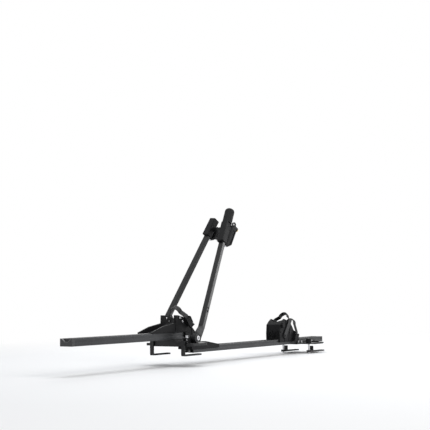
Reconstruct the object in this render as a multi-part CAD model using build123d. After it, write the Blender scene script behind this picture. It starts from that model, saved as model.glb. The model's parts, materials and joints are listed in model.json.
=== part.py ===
from build123d import *
from math import atan2, cos, degrees, radians, sin
import os

os.makedirs("parts", exist_ok=True)

# Roof mounted carrier for one bicycle. All sizes are in millimetres.
# X points to the front wheel's end, Y to the left side, Z up.
# The origin is the middle of the front crossbar's top, under the base pad.

# Fits that every piece shares
SLIP = 0.3
PIN_FIT = 0.05
SOCKET_FIT = 0.1
OVER = 2.0

# The crossbars that the carrier clamps
BAR_CHORD = 80.0
BAR_HEIGHT = 25.0
BAR_FIT = 0.5
REAR_BAR_X = -815.0
REAR_BAR_TOP = -31.0

# The bicycle's wheels, which shape the cradles and the strap loops
WHEEL_R = 340.0
FRONT_AXLE_X = 159.0
REAR_AXLE_X = -829.0
FRONT_TYRE_SINK = 10.0
REAR_TYRE_SINK = 13.0
TYRE_GAP = 2.0

# Extruded wheel trays
TRAY_W = 56.0
TRAY_TOP = 48.0
TRAY_H = 24.0
TRAY_FRONT_X = 498.0
TRAY_GROOVE = 15.0
RAIL_TOP = -4.0
RAIL_H = 22.0
RAIL_FRONT_X = -60.0
RAIL_REAR_X = -917.0
RAIL_GROOVE = 13.5
TRAY_LIP = 5.0
GROOVE_FLOOR_W = 16.0
SLOT_MOUTH_W = 9.0
SLOT_W = 21.0
SLOT_MOUTH_H = 2.4
SLOT_WEB = 2.6
SIDE_SLOT_DEPTH = 1.5
SIDE_SLOT_H = 6.0
SIDE_SLOT_UP = 10.5
CHAMBER_WALL = 1.8
CHAMBER_FLOOR = 2.6
CHAMBER_DROP = 5.0
SECTION_ROUND = 2.0
CAP_T = 9.0
CAP_WALL = 3.0
CAP_RECESS_LIFT = 4.0
CAP_PLUG = 12.0
FRONT_AXLE_Z = TRAY_TOP - FRONT_TYRE_SINK + WHEEL_R
REAR_AXLE_Z = RAIL_TOP - REAR_TYRE_SINK + WHEEL_R

# Base bracket over the front crossbar
PAD_T = 3.0
PAD_RIM = 22.0
PAD_X = 34.0
BASE_T = 9.0
BASE_FRONT_X = 42.0
BASE_REAR_X = -44.0
BASE_RIM = 4.0
BASE_CORNER = 10.0
SADDLE_RIM = 2.0
SADDLE_HALF_Y = TRAY_W / 2 + SADDLE_RIM
SADDLE_CORE_HALF_Y = 15.0
SADDLE_WALL = 6.0
RIB_T = 5.0
RIB_H = 7.0
TONGUE_REAR_X = -112.0
TONGUE_HALF_Y = TRAY_W / 2
BASE_EDGE = 1.5

# Claws that hook under the crossbars, with the bolts that lift them
CLAW_INSET = 15.5
CLAW_W = 16.0
CLAW_T = 4.0
CLAW_GAP_X = 4.0
CLAW_TAIL = 1.0
CLAW_BEND = 5.0
LINER_T = 1.5
LEG_FRONT_LOW = 16.0
BOLT_X = 24.0
BOLT_R = 4.0
HEX_R = 7.5
HEX_H = 6.5
WASHER_R = 8.0
WASHER_T = 1.6
BRIDGE_X = 12.0
BRIDGE_REACH = 22.0
BRIDGE_TOP = 30.0
BRIDGE_WALL = 2.7
BRIDGE_ROOF = 4.0

# Pivot of the folding frame arms
PIVOT_X = 4.0
PIVOT_Z = 28.5
PIVOT_BOLT_R = 5.0
PIVOT_HEAD_R = 8.0
PIVOT_HEAD_T = 4.0
LUG_R = 11.5
LUG_W = 22.7
LUG_REAR = 14.0
LUG_GAP = 2.0
FOOT_IN_Y = 88.0
FOOT_W = 16.0
FOOT_BOSS_R = 16.0
FOOT_RECESS_R = 11.0
FOOT_RECESS = 1.2
BUSH_WALL = 1.5
NUT_R = 7.5
NUT_T = 6.0
PIVOT_SOCKET_R = 3.5
LUG_OUT_Y = FOOT_IN_Y - SLIP
LUG_IN_Y = LUG_OUT_Y - LUG_W
CLAW_Y = FOOT_IN_Y - CLAW_INSET
BASE_HALF_Y = FOOT_IN_Y + FOOT_W + BASE_RIM
PAD_W = 2 * (BASE_HALF_Y - PAD_RIM)

# Frame arms: two tubes that lean to the rear and meet at the frame clamp
LEAN = 31.0
ARM_INSET = 9.0
ARM_LOW_Y = FOOT_IN_Y + ARM_INSET
ARM_HIGH_Y = 39.0
ARM_BACK = 11.0
TUBE_D = 15.0
TUBE_W = 21.0
TUBE_WALL = 1.6
TUBE_ROUND = 2.2
SCARF_FRONT = 55.0
SCARF_REAR = 100.0
NECK_START = 48.0
SPIGOT_END = 135.0
RIVET_FIRST = 112.0
RIVET_STEP = 13.0
RIVET_R = 2.4
RIVET_HEAD_R = 4.2
RIVET_HEAD_T = 1.8
RIVET_DOME = 1.4
ROOT_D = 27.0

# Frame clamp at the top of the arms, measured along the arm from the pivot
CORE_LOW = 406.0
CORE_TOP = 494.0
ARM_HIGH_R = (CORE_LOW + CORE_TOP) / 2
FAR_CORE_LOW = 442.0
FAR_CORE_TOP = 516.0
FAR_CORE_ROUND = 2.75
CORE_FRONT = 18.0
CORE_BACK = 11.0
CORE_HALF_W = 14.0
CORE_ROUND = 4.0
TUBE_SEAT = 434.0
FAR_TUBE_SEAT = 459.0
HINGE_BACK = 32.5
HINGE_Y = 45.0
KNUCKLE_R = 9.0
KNUCKLE_LOW = 432.0
FAR_KNUCKLE_LOW = 456.0
KNUCKLE_HIGH = 480.0
KNUCKLE_TOP = 490.0
KNUCKLE_WEB = 10.0
JAW_LOW = 404.0
FAR_JAW_LOW = 440.0
JAW_HIGH = 500.0
JAW_BACK = 54.5
JAW_IN_Y = 33.0
JAW_OUT_Y = 53.0
JAW_CHAMFER = 17.0
JAW_SHOULDER = 12.5
JAW_POCKET = 2.5
JAW_POCKET_RIM = 4.5
HINGE_PIN_R = 3.0
HINGE_PIN_HEAD_R = 5.0
HINGE_PIN_HEAD_T = 2.0
JAW_PAD_FACE_Y = 25.0
JAW_PAD_FRONT = 36.0
JAW_PAD_END = 10.0
JAW_PAD_HIGH = 486.0
JAW_PAD_RIM = 1.5
PAD_RIDGE_D = 2.0
PAD_RIDGES = 6
TIE_R = 8.0
TIE_BACK = 19.0
TIE_AT = 473.0
TIE_END_Y = 30.0
KNOB_R = 18.3
KNOB_LOW = 494.5
KNOB_H = 65.5
KNOB_HIGH = KNOB_LOW + KNOB_H
KNOB_DOME = 11.0
KNOB_FLUTES = 16
KNOB_FLUTE_R = 1.4
KNOB_FLUTE_LOW = 8.0
SCREW_LOW = 447.0
SCREW_GRIP = 12.0
LOCK_AT = 494.0
LOCK_Y = 44.0
LOCK_HOUSING_R = 8.5
LOCK_HOUSING_FRONT = 42.0
LOCK_HOUSING_BACK = 60.0
LOCK_R = 6.0
LOCK_FRONT = 50.0
LOCK_BACK = 65.0
KEY_SLOT_W = 1.6
KEY_SLOT_L = 7.0
KEY_SLOT_D = 3.0
LOOP_BACK = 40.0
LOOP_Y = 43.0
LOOP_R = 9.0
LOOP_WIRE = 2.6
LOOP_W = 6.0

# Front wheel cradle, which stands on the tray's lips
CRADLE_FIT = 0.4
CRADLE_IN_Y = TRAY_W / 2 + CRADLE_FIT
PLATE_T = 5.0
FRONT_PLATE_FRONT_X = 157.0
FRONT_PLATE_REAR_X = -70.0
FRONT_PLATE_LOW = 30.0
FRONT_PLATE_HIGH = 108.0
FRONT_SADDLE_REAR_X = -66.0
FRONT_SADDLE_FRONT_X = 120.0
FRONT_HOOK_REAR_X = -40.0
FRONT_HOOK_FRONT_X = -14.0
FRONT_SCREW_X = 16.0
FRONT_SCREW_Z = 98.0
FRONT_SCREW_STEP_X = 13.0
FRONT_SCREW_STEP_Z = 12.0
SADDLE_DROP = 12.0
VALLEY_W = 15.0
HOOK_DEPTH = 1.2
HOOK_H = 4.0

# Rear wheel cradle, which slides on the rail
REAR_PLATE_FRONT_X = -586.0
REAR_PLATE_REAR_X = -724.0
REAR_PLATE_LOW = -14.5
REAR_PLATE_HIGH = 78.0
REAR_SADDLE_FRONT_X = -592.0
REAR_SCREW_X = -600.0
REAR_SCREW_Z = 27.0
REAR_SCREW_STEP_X = 60.0
PINCH_X = -603.0
PINCH_Z = 52.0
PINCH_R = 3.0
PINCH_HEAD_R = 5.9
PINCH_KNOB_R = 8.5
PINCH_KNOB_T = 10.0
PINCH_LOBES = 6
PINCH_LOBE_R = 2.2
SCREW_R = 3.0
SCREW_HEAD_R = 4.4
SCREW_HEAD_T = 2.6
SCREW_SOCKET_R = 2.2
SCREW_SOCKET_D = 1.4

# Ladder straps and ratchet buckles, measured from the wheel's axle
STRAP_T = 3.0
STRAP_W = 18.0
STRAP_BEND_R = 19.0
STRAP_STAND = 4.1
STRAP_KNEE_IN = 16.0
STRAP_TOOTH = 1.4
STRAP_TOOTH_STEP = 4.0
STRAP_TEETH = 6
FRONT_STRAP_DEG = -32.0
FRONT_STRAP_IN = 34.0
FRONT_STRAP_OUT = 16.0
REAR_STRAP_DEG = 23.0
REAR_STRAP_IN = 50.0
REAR_STRAP_OUT = 14.0
REAR_LONG_STRAP_DEG = 34.0
REAR_LONG_STRAP_OUT = 45.0
REAR_LONG_KNEE_IN = 38.0
ANCHOR_IN = 8.0
BUCKLE_FLOOR = 2.2
BUCKLE_HALF_W = 11.8
BUCKLE_CHEEK = 2.2
BUCKLE_LIFT = 13.0
BUCKLE_IN = 10.0
BUCKLE_OUT = 18.0
LEVER_PIN_IN = 3.0
LEVER_PIN_OUT = 10.4
LEVER_PIN_R = 1.8
LEVER_HUB_R = 3.2
LEVER_T = 3.4
LEVER_CLEAR = 0.4
FRONT_LEVER_OUT = 26.0
REAR_LEVER_OUT = 28.0
LEVER_LIP = 3.0
STRAP_KNEE_AT = WHEEL_R - STRAP_KNEE_IN
STRAP_KNEE_Y = CRADLE_IN_Y + PLATE_T + STRAP_STAND
FRONT_STRAP_BEND = WHEEL_R - FRONT_STRAP_IN
FRONT_STRAP_END = WHEEL_R + FRONT_STRAP_OUT
REAR_STRAP_BEND = WHEEL_R - REAR_STRAP_IN
REAR_STRAP_END = WHEEL_R + REAR_STRAP_OUT
REAR_LONG_STRAP_END = WHEEL_R + REAR_LONG_STRAP_OUT
REAR_LONG_KNEE_AT = WHEEL_R - REAR_LONG_KNEE_IN
BUCKLE_FROM = WHEEL_R - BUCKLE_IN
BUCKLE_TO = WHEEL_R + BUCKLE_OUT
LEVER_PIN_AT = WHEEL_R - LEVER_PIN_IN
FRONT_LEVER_TO = WHEEL_R + FRONT_LEVER_OUT
REAR_LEVER_TO = WHEEL_R + REAR_LEVER_OUT

# Tail block, which carries the rail behind the crossbar
TAIL_FRONT_X = -46.5
TAIL_STEP_X = -124.0
TAIL_REAR_X = -200.0
TAIL_TOE_H = 2.5
TAIL_SKIRT_LOW = -14.0
TAIL_BOLT_FIRST_X = -72.0
TAIL_BOLT_STEP = 30.0
SADDLE_BOLT_X = 20.0
SADDLE_POST_R = 7.5
TRAY_NUT_R = 5.6
TRAY_NUT_T = 3.3

# Rear foot on the rear crossbar
REAR_PAD_T = 2.0
WING_T = 5.0
WING_HALF_Y = 78.0
FOOT_FRONT_X = -710.0
FOOT_REAR_X = -850.0
WING_FRONT_X = -742.0
FOOT_WALL = 4.0
FOOT_WALL_TOP = -15.6
FOOT_CORNER = 6.0
REAR_KNOB_X = -752.0
REAR_KNOB_Y = 64.0
REAR_KNOB_R = 11.0
REAR_KNOB_H = 18.0
REAR_KNOB_LOBES = 8
REAR_KNOB_LOBE_R = 2.4
REAR_CLAW_W = 20.0
REAR_STUD_END = 5.0
CLAW_NOSE = 10.0
CLAW_WALL_TOP = 6.0
SIDE_BOLT_Z = -19.5
SIDE_BOLT_shares = (0.09, 0.25, 0.8)


def block(x, y, z):
    """Box between two corners, each axis given as a low and a high value."""
    size = [abs(b - a) for a, b in (x, y, z)]
    middle = [(a + b) / 2 for a, b in (x, y, z)]
    return Pos(*middle) * Box(*size)


def bar_x(y, z, x, r):
    """Round bar along X between two values of x."""
    return Pos((x[0] + x[1]) / 2, y, z) * Rot(0, 90, 0) * Cylinder(r, abs(x[1] - x[0]))


def bar_y(x, z, y, r):
    """Round bar along Y between two values of y."""
    return Pos(x, (y[0] + y[1]) / 2, z) * Rot(90, 0, 0) * Cylinder(r, abs(y[1] - y[0]))


def bar_z(x, y, z, r):
    """Round bar along Z between two values of z."""
    return Pos(x, y, (z[0] + z[1]) / 2) * Cylinder(r, abs(z[1] - z[0]))


def slab_y(points, y):
    """Plate with an outline of (x, z) points between two values of y."""
    outline = Plane.XZ * Polygon(*points, align=None)
    return Pos(0, y[0], 0) * extrude(outline, y[1] - y[0], dir=(0, 1, 0))


def to_right(piece):
    """The same piece on the other side of the carrier."""
    return mirror(piece, about=Plane.XZ)


def along_edges(piece, axis, size):
    """Rounds the edges of a piece that run along one axis."""
    return fillet(piece.edges().filter_by(axis), size)


def save(name, *pieces):
    """Writes one named sub-part, with each of its solids kept separate."""
    solids = [solid for piece in pieces for solid in piece.solids()]
    shape = solids[0] if len(solids) == 1 else Compound(solids)
    export_step(shape, f"parts/{name}.step")


# Wheel trays


def groove(height, depth, side=0.0):
    """Outline of the wheel groove, with its side walls moved outwards by side."""
    top = TRAY_W / 2 - TRAY_LIP + side
    floor = GROOVE_FLOOR_W / 2 + side
    return [(-top, height), (-floor, height - depth), (floor, height - depth), (top, height)]


def tray_section(height, depth):
    """Cross-section of the extrusion, with its foot on zero."""
    half = TRAY_W / 2
    slot_top = height - depth - SLOT_WEB
    body = Pos(0, height / 2) * Rectangle(TRAY_W, height)
    body = fillet(body.vertices().group_by(Axis.Y)[0], SECTION_ROUND)
    body -= Polygon(*groove(height, depth), align=None)
    body -= Pos(0, slot_top / 2) * Rectangle(SLOT_MOUTH_W, slot_top)
    slot_h = slot_top - SLOT_MOUTH_H
    body -= Pos(0, SLOT_MOUTH_H + slot_h / 2) * Rectangle(SLOT_W, slot_h)
    inner = SLOT_W / 2 + CHAMBER_FLOOR
    outer = half - SIDE_SLOT_DEPTH - CHAMBER_WALL
    roof = height - CHAMBER_DROP
    for side in (-1, 1):
        slot = Rectangle(2 * SIDE_SLOT_DEPTH, SIDE_SLOT_H)
        body -= Pos(side * half, SIDE_SLOT_UP + SIDE_SLOT_H / 2) * slot
        corners = [(inner, CHAMBER_FLOOR), (outer, CHAMBER_FLOOR), (outer, roof)]
        corners += [(outer - CHAMBER_WALL, roof), (inner, height / 2)]
        body -= Polygon(*[(side * y, z) for y, z in corners], align=None)
    return body


def tray(height, depth, foot, x):
    """Extrusion between two values of x, with its foot at a height of foot."""
    section = Plane.YZ * tray_section(height, depth)
    return Pos(x[0], 0, foot) * extrude(section, x[1] - x[0])


def end_cap(height, depth, foot, x, inwards):
    """Cap that closes an extrusion's end, with two plugs in the side chambers and a hollow face."""
    face = Pos(0, height / 2) * Rectangle(TRAY_W, height)
    face = fillet(face.vertices().group_by(Axis.Y)[0], SECTION_ROUND)
    cap = extrude(Plane.YZ * face, CAP_T)
    hollow = extrude(Plane.YZ * Polygon(*groove(height, depth - CAP_RECESS_LIFT), align=None), CAP_T)
    cap -= Pos(inwards * CAP_WALL, 0, 0) * hollow
    inner = SLOT_W / 2 + CHAMBER_FLOOR + SOCKET_FIT
    outer = TRAY_W / 2 - SIDE_SLOT_DEPTH - CHAMBER_WALL - SOCKET_FIT
    for side in (-1, 1):
        y = sorted((side * inner, side * outer))
        z = (CHAMBER_FLOOR + SOCKET_FIT, height / 2 - SOCKET_FIT)
        cap += block((-CAP_PLUG * inwards, 0) if inwards > 0 else (CAP_T, CAP_T + CAP_PLUG), y, z)
    return Pos(x, 0, foot) * cap


def make_trays():
    tray_end = TRAY_FRONT_X - CAP_T
    foot = TRAY_TOP - TRAY_H
    save("front_tray", tray(TRAY_H, TRAY_GROOVE, foot, (BASE_REAR_X, tray_end)))
    save("front_tray_cap", end_cap(TRAY_H, TRAY_GROOVE, foot, tray_end, 1))
    rail_foot = RAIL_TOP - RAIL_H
    rail = tray(RAIL_H, RAIL_GROOVE, rail_foot, (RAIL_REAR_X + CAP_T, RAIL_FRONT_X))
    for x in tail_bolt_places():
        rail -= bar_z(x, 0, (rail_foot, RAIL_TOP), SCREW_R + PIN_FIT)
    save("rear_rail", rail)
    save("rear_rail_cap", end_cap(RAIL_H, RAIL_GROOVE, rail_foot, RAIL_REAR_X, -1))


# Base bracket, its pad and its claws

BASE_TOP = PAD_T + BASE_T
BRIDGE_IN_Y = CLAW_Y - CLAW_W / 2 - SLIP - BRIDGE_WALL
BRIDGE_OUT_Y = CLAW_Y + CLAW_W / 2 + SLIP + BRIDGE_WALL


def base_side():
    """What the base carries on its left side: the claw's bridge and the pivot lug."""
    bridge_x = (BRIDGE_X, BRIDGE_X + BRIDGE_REACH)
    bridge = block(bridge_x, (BRIDGE_IN_Y, BRIDGE_OUT_Y), (BASE_TOP, BRIDGE_TOP))
    inside_y = (BRIDGE_IN_Y + BRIDGE_WALL, BRIDGE_OUT_Y - BRIDGE_WALL)
    inside_x = (BRIDGE_X - OVER, BRIDGE_X + BRIDGE_REACH + OVER)
    bridge -= block(inside_x, inside_y, (BASE_TOP, BRIDGE_TOP - BRIDGE_ROOF))
    lug_x = (PIVOT_X - LUG_REAR, BRIDGE_X - LUG_GAP)
    lug = block(lug_x, (LUG_IN_Y, BRIDGE_OUT_Y), (BASE_TOP, PIVOT_Z))
    lug += bar_y(PIVOT_X, PIVOT_Z, (LUG_IN_Y, BRIDGE_OUT_Y), LUG_R)
    lug += bar_y(PIVOT_X, PIVOT_Z, (LUG_IN_Y, LUG_OUT_Y), PIVOT_HEAD_R)
    claw_room_x = (BRIDGE_X - SLIP, BRIDGE_X + BRIDGE_REACH)
    lug -= block(claw_room_x, inside_y, (BASE_TOP, BRIDGE_TOP - BRIDGE_ROOF))
    rib_y = (SADDLE_HALF_Y, BRIDGE_IN_Y)
    side = bridge + lug
    for x in (BASE_REAR_X, BASE_FRONT_X - RIB_T):
        side += block((x, x + RIB_T), rib_y, (BASE_TOP, BASE_TOP + RIB_H))
    return side


def base_bracket():
    plate = block((BASE_REAR_X, BASE_FRONT_X), (-BASE_HALF_Y, BASE_HALF_Y), (PAD_T, BASE_TOP))
    plate = along_edges(plate, Axis.Z, BASE_CORNER)
    plate = fillet(plate.faces().sort_by(Axis.Z)[-1].edges(), BASE_EDGE)
    tongue_y = (-TONGUE_HALF_Y, TONGUE_HALF_Y)
    plate += block((TONGUE_REAR_X, BASE_REAR_X + BASE_CORNER), tongue_y, (PAD_T, BASE_TOP))
    foot = TRAY_TOP - TRAY_H
    saddle_y = (-SADDLE_HALF_Y, SADDLE_HALF_Y)
    saddle = block((BASE_REAR_X, BASE_FRONT_X), saddle_y, (BASE_TOP - OVER, foot))
    core_x = (BASE_REAR_X + SADDLE_WALL, BASE_FRONT_X - SADDLE_WALL)
    core_y = (-SADDLE_CORE_HALF_Y, SADDLE_CORE_HALF_Y)
    saddle -= block(core_x, core_y, (BASE_TOP, foot + OVER))
    base = plate + saddle + base_side() + to_right(base_side())
    bore_y = (LUG_IN_Y - OVER, LUG_OUT_Y + OVER)
    for side in (-1, 1):
        y = sorted((side * bore_y[0], side * bore_y[1]))
        base -= bar_y(PIVOT_X, PIVOT_Z, y, PIVOT_BOLT_R + PIN_FIT)
        roof_z = (BRIDGE_TOP - BRIDGE_ROOF - OVER, BRIDGE_TOP + OVER)
        base -= bar_z(BOLT_X, side * CLAW_Y, roof_z, BOLT_R + PIN_FIT)
    for x in tail_bolt_places():
        base -= bar_z(x, 0, (PAD_T - OVER, BASE_TOP + OVER), SCREW_R + PIN_FIT)
    for x in saddle_bolt_places():
        base += bar_z(x, 0, (BASE_TOP - OVER, foot), SADDLE_POST_R)
        base -= bar_z(x, 0, (PAD_T - OVER, foot + OVER), SCREW_R + PIN_FIT)
        base -= bar_z(x, 0, (PAD_T - OVER, PAD_T + SCREW_HEAD_T + SLIP), SCREW_HEAD_R + SLIP)
    return base


def tail_bolt_places():
    return [TAIL_BOLT_FIRST_X, TAIL_BOLT_FIRST_X - TAIL_BOLT_STEP]


def saddle_bolt_places():
    return [-SADDLE_BOLT_X, SADDLE_BOLT_X]


def base_pad():
    pad = block((-PAD_X, PAD_X), (-PAD_W / 2, PAD_W / 2), (0, PAD_T))
    return along_edges(pad, Axis.Z, BASE_CORNER)


def claw(y, wide, x_wall, x_tail, low, high, top_leg=None):
    """Bent strip that hooks under a crossbar; its wall stands in front of the bar."""
    tip = (x_tail, low + CLAW_T)
    corners = [tip, (x_wall, low + CLAW_T), (x_wall, high), (x_wall + CLAW_T, high)]
    if top_leg is not None:
        corners = [tip, (x_wall, low + CLAW_T), (x_wall, high - CLAW_T), (top_leg, high - CLAW_T)]
        corners += [(top_leg, high), (x_wall + CLAW_T, high)]
    corners += [(x_wall + CLAW_T, low), (x_tail, low)]
    strip = slab_y(corners, (y - wide / 2, y + wide / 2))
    front = strip.edges().filter_by(Axis.Y).group_by(Axis.X)[-1].sort_by(Axis.Z)
    bends = front if top_leg is not None else front[:1]
    return fillet(bends, CLAW_BEND - CLAW_TAIL)


def liner(y, wide, x_wall, x_tail, low):
    pad = block((x_tail, x_wall - SLIP), (y - wide / 2, y + wide / 2), (low, low + LINER_T))
    return along_edges(pad, Axis.Z, CLAW_TAIL)


def hex_bolt(x, y, seat, end):
    """Hexagon bolt with its washer, pointing down."""
    washer = bar_z(x, y, (seat, seat + WASHER_T), WASHER_R)
    head = Pos(x, y, seat + WASHER_T) * extrude(RegularPolygon(HEX_R, 6), HEX_H)
    return washer + head + bar_z(x, y, (end, seat + WASHER_T), BOLT_R)


def make_base():
    save("base_bracket", base_bracket())
    save("base_pad", base_pad())
    x_wall = BAR_CHORD / 2 + CLAW_GAP_X
    liner_top = -BAR_HEIGHT - BAR_FIT
    low = liner_top - LINER_T - CLAW_T
    high = LEG_FRONT_LOW + CLAW_T
    x_tail = -BAR_CHORD / 2 - CLAW_TAIL
    hook = claw(CLAW_Y, CLAW_W, x_wall, x_tail, low, high, BRIDGE_X + CLAW_TAIL)
    hook -= bar_z(BOLT_X, CLAW_Y, (LEG_FRONT_LOW - OVER, high + OVER), BOLT_R + PIN_FIT)
    pad = liner(CLAW_Y, CLAW_W, x_wall, x_tail, liner_top - LINER_T)
    bolt = hex_bolt(BOLT_X, CLAW_Y, BRIDGE_TOP + PIN_FIT, BASE_TOP + SLIP)
    save("front_claw_left", hook)
    save("front_claw_right", to_right(hook))
    save("front_claw_liner_left", pad)
    save("front_claw_liner_right", to_right(pad))
    save("front_clamp_bolt_left", bolt)
    save("front_clamp_bolt_right", to_right(bolt))


# Tail block that carries the rail


def tail_block():
    half = TRAY_W / 2 + SLIP
    outer = half + FOOT_WALL
    points = [(TAIL_FRONT_X, TAIL_SKIRT_LOW), (TAIL_FRONT_X, PAD_T), (TONGUE_REAR_X - SLIP, PAD_T)]
    points += [(TONGUE_REAR_X - SLIP, BASE_TOP), (TAIL_STEP_X, BASE_TOP)]
    points += [(TAIL_REAR_X, RAIL_TOP + TAIL_TOE_H), (TAIL_REAR_X, TAIL_SKIRT_LOW)]
    body = slab_y(points, (-outer, outer))
    rail_x = (TAIL_REAR_X - OVER, RAIL_FRONT_X + SLIP)
    body -= block(rail_x, (-half, half), (TAIL_SKIRT_LOW - OVER, RAIL_TOP))
    key_x = (TAIL_REAR_X + SADDLE_WALL, RAIL_FRONT_X)
    key = [(y, z + RAIL_TOP - RAIL_H) for y, z in groove(RAIL_H, RAIL_GROOVE, -SLIP)]
    key[1] = (key[1][0], key[1][1] + RAIL_GROOVE / 2)
    key[2] = (key[2][0], key[2][1] + RAIL_GROOVE / 2)
    section = Plane.YZ * Polygon(*key, align=None)
    body += Pos(key_x[0], 0, 0) * extrude(section, key_x[1] - key_x[0], dir=(1, 0, 0))
    for x in tail_bolt_places():
        body -= bar_z(x, 0, (RAIL_TOP - RAIL_GROOVE, BASE_TOP + OVER), SCREW_R + PIN_FIT)
    return body


def tray_screw(x, head_z, nut_z, way):
    """Screw and nut of a tray; way is 1 when the head is the upper end, -1 when the nut is."""
    head_top = head_z + way * SCREW_HEAD_T
    head = bar_z(x, 0, sorted((head_z, head_top)), SCREW_HEAD_R)
    sink = sorted((head_top - way * SCREW_SOCKET_D, head_top + way * OVER))
    head -= Pos(x, 0, sink[0]) * extrude(RegularPolygon(SCREW_SOCKET_R, 6), sink[1] - sink[0])
    nut_end = nut_z - way * TRAY_NUT_T
    screw = head + bar_z(x, 0, sorted((head_z, nut_end)), SCREW_R)
    nut_low = min(nut_z, nut_end)
    return screw + Pos(x, 0, nut_low) * extrude(RegularPolygon(TRAY_NUT_R, 6), TRAY_NUT_T)


def tray_screws():
    """Screws that hold both trays by nuts in the slots under their grooves."""
    rail_nut = RAIL_TOP - RAIL_GROOVE - SLOT_WEB
    tray_nut = TRAY_TOP - TRAY_H + SLOT_MOUTH_H
    screws = [tray_screw(x, BASE_TOP, rail_nut, 1) for x in tail_bolt_places()]
    for x in saddle_bolt_places():
        screws.append(tray_screw(x, PAD_T + SCREW_HEAD_T + SLIP, tray_nut, -1))
    return screws


# Frame arms, drawn upright and then leaned to the rear about the pivot

CONVERGE = degrees(atan2(ARM_LOW_Y - ARM_HIGH_Y, ARM_HIGH_R))
ARM_PLACE = Pos(PIVOT_X, 0, PIVOT_Z) * Rot(0, -LEAN, 0)
TUBE_PLACE = Pos(-ARM_BACK, ARM_LOW_Y, 0) * Rot(CONVERGE, 0, 0)


def tube_bar(d, w, round_r, low, high):
    """Length of rounded bar along the tube's own axis."""
    return TUBE_PLACE * Pos(0, 0, low) * extrude(RectangleRounded(d, w, round_r), high - low)


def below_scarf():
    """Room below the slanted joint between the foot casting and the tube."""
    front = -ARM_BACK + TUBE_D / 2
    rear = -ARM_BACK - TUBE_D / 2
    rise = (SCARF_REAR - SCARF_FRONT) / (front - rear)
    reach = TUBE_D
    points = [(front + reach, SCARF_FRONT - rise * reach), (rear - reach, SCARF_REAR + rise * reach)]
    points += [(rear - reach, -SCARF_REAR), (front + reach, -SCARF_REAR)]
    return slab_y(points, (0, BASE_HALF_Y + SCARF_REAR))


def arm_tube(seat):
    outer = tube_bar(TUBE_D, TUBE_W, TUBE_ROUND, NECK_START, seat)
    slim = 2 * TUBE_WALL
    inner = tube_bar(TUBE_D - slim, TUBE_W - slim, TUBE_ROUND - TUBE_WALL, 0, seat + OVER)
    tube = outer - inner - below_scarf()
    for place in rivet_places():
        tube -= place * Rot(90, 0, 0) * Cylinder(RIVET_R + PIN_FIT, 2 * TUBE_W)
    return tube


def rivet_places():
    """Where the rivets cross the tube, as places on the tube's axis."""
    return [TUBE_PLACE * Pos(0, 0, RIVET_FIRST + RIVET_STEP * i) for i in range(2)]


def arm_foot():
    boss = bar_y(0, 0, (FOOT_IN_Y, FOOT_IN_Y + FOOT_W), FOOT_BOSS_R)
    root_place = Pos(-FOOT_BOSS_R + ROOT_D / 2, FOOT_IN_Y + FOOT_W / 2, 0)
    root = root_place * extrude(RectangleRounded(ROOT_D, FOOT_W, TUBE_ROUND), FOOT_BOSS_R)
    low = root_place * Pos(0, 0, FOOT_BOSS_R) * RectangleRounded(ROOT_D, FOOT_W, TUBE_ROUND)
    high = TUBE_PLACE * Pos(0, 0, NECK_START) * RectangleRounded(TUBE_D, TUBE_W, TUBE_ROUND)
    neck = loft([low.face(), high.face()])
    shoulder = tube_bar(TUBE_D, TUBE_W, TUBE_ROUND, NECK_START, SCARF_REAR + TUBE_D) & below_scarf()
    slim = 2 * (TUBE_WALL + SOCKET_FIT)
    spigot = tube_bar(TUBE_D - slim, TUBE_W - slim, TUBE_ROUND - TUBE_WALL, NECK_START, SPIGOT_END)
    foot = boss + root + neck + shoulder + spigot
    reach = (FOOT_IN_Y - OVER, FOOT_IN_Y + FOOT_W + OVER)
    foot -= bar_y(0, 0, reach, PIVOT_BOLT_R + PIN_FIT + BUSH_WALL)
    recess_y = (FOOT_IN_Y + FOOT_W - FOOT_RECESS, FOOT_IN_Y + FOOT_W + OVER)
    foot -= bar_y(0, 0, recess_y, FOOT_RECESS_R)
    for place in rivet_places():
        foot -= place * Rot(90, 0, 0) * Cylinder(RIVET_R + PIN_FIT, 2 * TUBE_W)
    return foot


def arm_bush():
    y = (FOOT_IN_Y, FOOT_IN_Y + FOOT_W - FOOT_RECESS)
    return bar_y(0, 0, y, PIVOT_BOLT_R + PIN_FIT + BUSH_WALL) - bar_y(0, 0, y, PIVOT_BOLT_R + PIN_FIT)


def arm_rivets():
    """Rivets that hold the tube on the foot's spigot, with a head at each side."""
    rivets = []
    for place in rivet_places():
        rivet = Cylinder(RIVET_R, TUBE_W + 2 * PIN_FIT)
        for side in (-1, 1):
            offset = side * (TUBE_W / 2 + PIN_FIT + RIVET_HEAD_T / 2)
            head = Pos(0, 0, offset) * Cylinder(RIVET_HEAD_R, RIVET_HEAD_T)
            edge = head.edges().sort_by(Axis.Z)[-1 if side > 0 else 0]
            rivet += fillet(edge, RIVET_DOME)
        rivets.append(place * Rot(90, 0, 0) * rivet)
    return rivets


def pivot_bolt():
    """Shoulder bolt of one arm, with its nut on the lug's inner side."""
    outer_y = FOOT_IN_Y + FOOT_W - FOOT_RECESS + PIN_FIT
    bolt = bar_y(0, 0, (LUG_IN_Y - NUT_T, outer_y), PIVOT_BOLT_R)
    head = bar_y(0, 0, (outer_y, outer_y + PIVOT_HEAD_T), PIVOT_HEAD_R)
    head = fillet(head.edges().sort_by(Axis.Y)[-1], BASE_EDGE)
    socket = Pos(0, outer_y + PIVOT_HEAD_T + OVER, 0) * Rot(90, 0, 0)
    head -= socket * extrude(RegularPolygon(PIVOT_SOCKET_R, 6), OVER + SCREW_HEAD_T)
    nut = Pos(0, LUG_IN_Y, 0) * Rot(90, 0, 0) * extrude(RegularPolygon(NUT_R, 6), NUT_T)
    return Pos(PIVOT_X, 0, PIVOT_Z) * (bolt + head + nut)


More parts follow.
